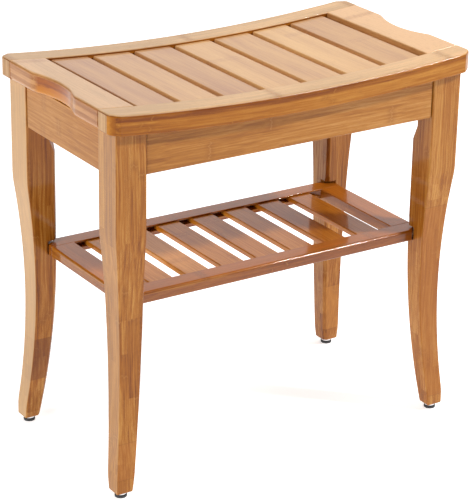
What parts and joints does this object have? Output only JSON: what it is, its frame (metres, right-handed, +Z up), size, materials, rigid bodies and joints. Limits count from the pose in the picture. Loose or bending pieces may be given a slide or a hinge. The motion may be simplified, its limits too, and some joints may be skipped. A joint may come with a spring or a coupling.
{
  "type": "shower stool",
  "caption": "Slatted bamboo shower stool with a saddle seat, curved tapering legs, a slatted lower shelf and screw-in levelling glides.",
  "frame": {"origin": "on the floor under the middle of the seat", "axes": "+X along the seat, -Y towards the front, +Z up"},
  "size_m": [0.47, 0.256, 0.45],
  "materials": {
    "bamboo_seat_rail": "clear gloss lacquer over pale honey bamboo",
    "bamboo_end_board": "clear gloss lacquer over pale bamboo, grain across the seat",
    "bamboo_seat_slat": "clear gloss lacquer, each slat a little different in tone",
    "bamboo_leg": "clear gloss lacquer over strip-laminated honey bamboo with finger joints",
    "bamboo_apron": "clear gloss lacquer over honey bamboo with node marks",
    "bamboo_shelf_rail": "clear gloss lacquer over reddish honey bamboo",
    "bamboo_shelf_slat": "clear gloss lacquer over brown bamboo, each slat a little different",
    "block_wood": "plain sanded wood",
    "dowel_wood": "plain birch dowel",
    "zinc_steel": "zinc plated",
    "screw_steel": "dark zinc plated",
    "insert_brass": "plain machined",
    "glide_steel": "bright nickel plated",
    "glide_plastic": "matt dark grey"
  },
  "bodies": {
    "frame": {"seat_front_rail": "bamboo_seat_rail", "seat_back_rail": "bamboo_seat_rail", "seat_left_end_board": "bamboo_end_board", "seat_right_end_board": "bamboo_end_board", "seat_slat_1": "bamboo_seat_slat", "seat_slat_2": "bamboo_seat_slat", "seat_slat_3": "bamboo_seat_slat", "seat_slat_4": "bamboo_seat_slat", "seat_slat_5": "bamboo_seat_slat", "seat_slat_6": "bamboo_seat_slat", "seat_slat_7": "bamboo_seat_slat", "front_apron": "bamboo_apron", "back_apron": "bamboo_apron", "left_apron": "bamboo_apron", "right_apron": "bamboo_apron", "leg_front_left": "bamboo_leg", "leg_front_right": "bamboo_leg", "leg_back_left": "bamboo_leg", "leg_back_right": "bamboo_leg", "corner_block_front_left": "block_wood", "corner_block_front_right": "block_wood", "corner_block_back_left": "block_wood", "corner_block_back_right": "block_wood", "hanger_bolts": "zinc_steel", "bolt_washers": "zinc_steel", "bolt_nuts": "zinc_steel", "corner_block_screws": "screw_steel", "seat_fixing_screws": "screw_steel", "apron_dowels": "dowel_wood", "shelf_front_rail": "bamboo_shelf_rail", "shelf_back_rail": "bamboo_shelf_rail", "shelf_left_end_rail": "bamboo_shelf_rail", "shelf_right_end_rail": "bamboo_shelf_rail", "shelf_slat_1": "bamboo_shelf_slat", "shelf_slat_2": "bamboo_shelf_slat", "shelf_slat_3": "bamboo_shelf_slat", "shelf_slat_4": "bamboo_shelf_slat", "shelf_slat_5": "bamboo_shelf_slat", "shelf_slat_6": "bamboo_shelf_slat", "shelf_slat_7": "bamboo_shelf_slat", "shelf_joint_dowels": "dowel_wood", "shelf_corner_dowels": "dowel_wood", "glide_inserts": "insert_brass"},
    "base_front_left": {"glide_base_front_left": "glide_plastic"},
    "stem_front_left": {"glide_stem_front_left": "glide_steel"},
    "base_front_right": {"glide_base_front_right": "glide_plastic"},
    "stem_front_right": {"glide_stem_front_right": "glide_steel"},
    "base_back_left": {"glide_base_back_left": "glide_plastic"},
    "stem_back_left": {"glide_stem_back_left": "glide_steel"},
    "base_back_right": {"glide_base_back_right": "glide_plastic"},
    "stem_back_right": {"glide_stem_back_right": "glide_steel"}
  },
  "joints": [
    {"name": "glide_travel_front_left", "type": "slide", "parent": "frame", "child": "base_front_left", "axis": [0, 0, -1], "range_m": [0, 0.008]},
    {"name": "glide_turn_front_left", "type": "hinge", "parent": "base_front_left", "child": "stem_front_left", "pos_m": [-0.2155, -0.109, 0], "axis": [0, 0, -1], "range_deg": [0, 2880]},
    {"name": "glide_travel_front_right", "type": "slide", "parent": "frame", "child": "base_front_right", "axis": [0, 0, -1], "range_m": [0, 0.008]},
    {"name": "glide_turn_front_right", "type": "hinge", "parent": "base_front_right", "child": "stem_front_right", "pos_m": [0.2155, -0.109, 0], "axis": [0, 0, -1], "range_deg": [0, 2880]},
    {"name": "glide_travel_back_left", "type": "slide", "parent": "frame", "child": "base_back_left", "axis": [0, 0, -1], "range_m": [0, 0.008]},
    {"name": "glide_turn_back_left", "type": "hinge", "parent": "base_back_left", "child": "stem_back_left", "pos_m": [-0.2155, 0.109, 0], "axis": [0, 0, -1], "range_deg": [0, 2880]},
    {"name": "glide_travel_back_right", "type": "slide", "parent": "frame", "child": "base_back_right", "axis": [0, 0, -1], "range_m": [0, 0.008]},
    {"name": "glide_turn_back_right", "type": "hinge", "parent": "base_back_right", "child": "stem_back_right", "pos_m": [0.2155, 0.109, 0], "axis": [0, 0, -1], "range_deg": [0, 2880]}
  ],
  "couplings": [
    {"joint": "glide_travel_front_left", "follows": "glide_turn_front_left", "m_per_rad": 0.000159},
    {"joint": "glide_travel_front_right", "follows": "glide_turn_front_right", "m_per_rad": 0.000159},
    {"joint": "glide_travel_back_left", "follows": "glide_turn_back_left", "m_per_rad": 0.000159},
    {"joint": "glide_travel_back_right", "follows": "glide_turn_back_right", "m_per_rad": 0.000159}
  ]
}
